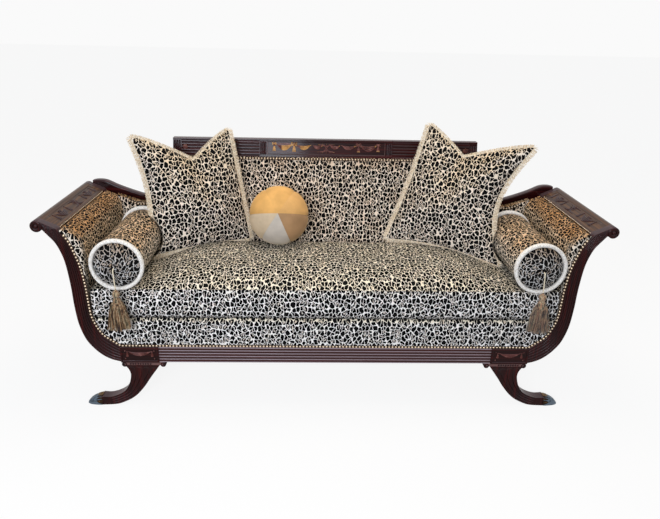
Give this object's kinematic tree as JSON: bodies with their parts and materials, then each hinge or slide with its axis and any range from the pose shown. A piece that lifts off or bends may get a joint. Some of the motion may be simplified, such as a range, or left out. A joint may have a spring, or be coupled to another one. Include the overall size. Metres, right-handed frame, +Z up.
{
  "type": "recamier",
  "caption": "Long scroll-arm sofa on sabre legs with a carved reeded show-wood frame, bench cushion, bolsters with tassels, leaning pillows and a ball pillow.",
  "frame": {"origin": "on the floor, midway along the sofa and midway between its foremost and rearmost points without the tassels", "axes": "+X along the sofa towards the sitter's left arm, which is on the right in the picture; +Y from the front to the back; +Z up"},
  "size_m": [2.16, 0.7317, 1.0715],
  "materials": {
    "mahogany": "dark red-brown mahogany under a high gloss polish",
    "inner_wood": "plain sawn beech",
    "toe_cap_metal": "cast toe cap with a blue-grey patina, satin",
    "nail_brass": "antique brass, satin",
    "spotted_fabric": "cut velvet with a cream ground and near-black leopard spots",
    "black_lining": "plain black lining cloth",
    "jute": "woven jute",
    "spring_steel": "bare drawn steel wire",
    "cream_trim": "cream cotton cord and brush fringe",
    "tassel_thread": "mixed brown, cream and pink threads",
    "gold_velvet": "golden velvet"
  },
  "bodies": {
    "frame": {"front_rail": "mahogany", "back_rail": "mahogany", "crest_rail": "mahogany", "arm_facing_left": "mahogany", "arm_facing_right": "mahogany", "arm_post_rear_left": "mahogany", "arm_post_rear_right": "mahogany", "arm_tablet_left": "mahogany", "arm_tablet_right": "mahogany", "shoulder_rail_left": "mahogany", "shoulder_rail_right": "mahogany", "leg_block_front_left": "mahogany", "leg_block_front_right": "mahogany", "leg_block_rear_left": "mahogany", "leg_block_rear_right": "mahogany", "leg_front_left": "mahogany", "leg_front_right": "mahogany", "leg_rear_left": "mahogany", "leg_rear_right": "mahogany", "side_rail_left": "inner_wood", "side_rail_right": "inner_wood", "center_stretcher": "inner_wood", "toe_cap_front_left": "toe_cap_metal", "toe_cap_front_right": "toe_cap_metal", "toe_cap_rear_left": "toe_cap_metal", "toe_cap_rear_right": "toe_cap_metal", "front_nails": "nail_brass", "back_nails": "nail_brass", "tablet_nails_left": "nail_brass", "tablet_nails_right": "nail_brass", "front_border": "spotted_fabric", "inside_back": "spotted_fabric", "outside_back": "spotted_fabric", "inside_arm_left": "spotted_fabric", "inside_arm_right": "spotted_fabric", "outside_arm_left": "spotted_fabric", "outside_arm_right": "spotted_fabric", "seat_deck": "black_lining", "dust_cover": "black_lining", "seat_webbing": "jute", "seat_springs": "spring_steel"},
    "bench_cushion": {"seat_cushion": "spotted_fabric"},
    "bolster_left": {"bolster_left": "spotted_fabric", "bolster_trim_front_left": "cream_trim", "bolster_trim_rear_left": "cream_trim", "bolster_button_left": "spotted_fabric"},
    "tassel_left": {"tassel_cord_left": "cream_trim", "tassel_left": "tassel_thread"},
    "pillow_left": {"pillow_left": "spotted_fabric", "pillow_fringe_left": "cream_trim"},
    "bolster_right": {"bolster_right": "spotted_fabric", "bolster_trim_front_right": "cream_trim", "bolster_trim_rear_right": "cream_trim", "bolster_button_right": "spotted_fabric"},
    "tassel_right": {"tassel_cord_right": "cream_trim", "tassel_right": "tassel_thread"},
    "pillow_right": {"pillow_right": "spotted_fabric", "pillow_fringe_right": "cream_trim"},
    "ball_pillow": {"ball_pillow": "gold_velvet"}
  },
  "joints": [
    {"name": "bench_cushion_lift", "type": "slide", "parent": "frame", "child": "bench_cushion", "axis": [0, 0, 1], "range_m": [0, 0.25]},
    {"name": "bolster_left_lift", "type": "slide", "parent": "bench_cushion", "child": "bolster_left", "axis": [0, 0, 1], "range_m": [0, 0.2]},
    {"name": "tassel_left_swing", "type": "hinge", "parent": "bolster_left", "child": "tassel_left", "pos_m": [-0.7812, -0.34545, 0.6073], "axis": [0, 1, 0], "range_deg": [-20, 20]},
    {"name": "pillow_left_lift", "type": "slide", "parent": "bolster_left", "child": "pillow_left", "axis": [0, 0, 1], "range_m": [0, 0.2]},
    {"name": "bolster_right_lift", "type": "slide", "parent": "bench_cushion", "child": "bolster_right", "axis": [0, 0, 1], "range_m": [0, 0.2]},
    {"name": "tassel_right_swing", "type": "hinge", "parent": "bolster_right", "child": "tassel_right", "pos_m": [0.8002, -0.34545, 0.6073], "axis": [0, 1, 0], "range_deg": [-20, 20]},
    {"name": "pillow_right_lift", "type": "slide", "parent": "bolster_right", "child": "pillow_right", "axis": [0, 0, 1], "range_m": [0, 0.2]},
    {"name": "ball_pillow_lift", "type": "slide", "parent": "bench_cushion", "child": "ball_pillow", "axis": [0, 0, 1], "range_m": [0, 0.2]}
  ]
}
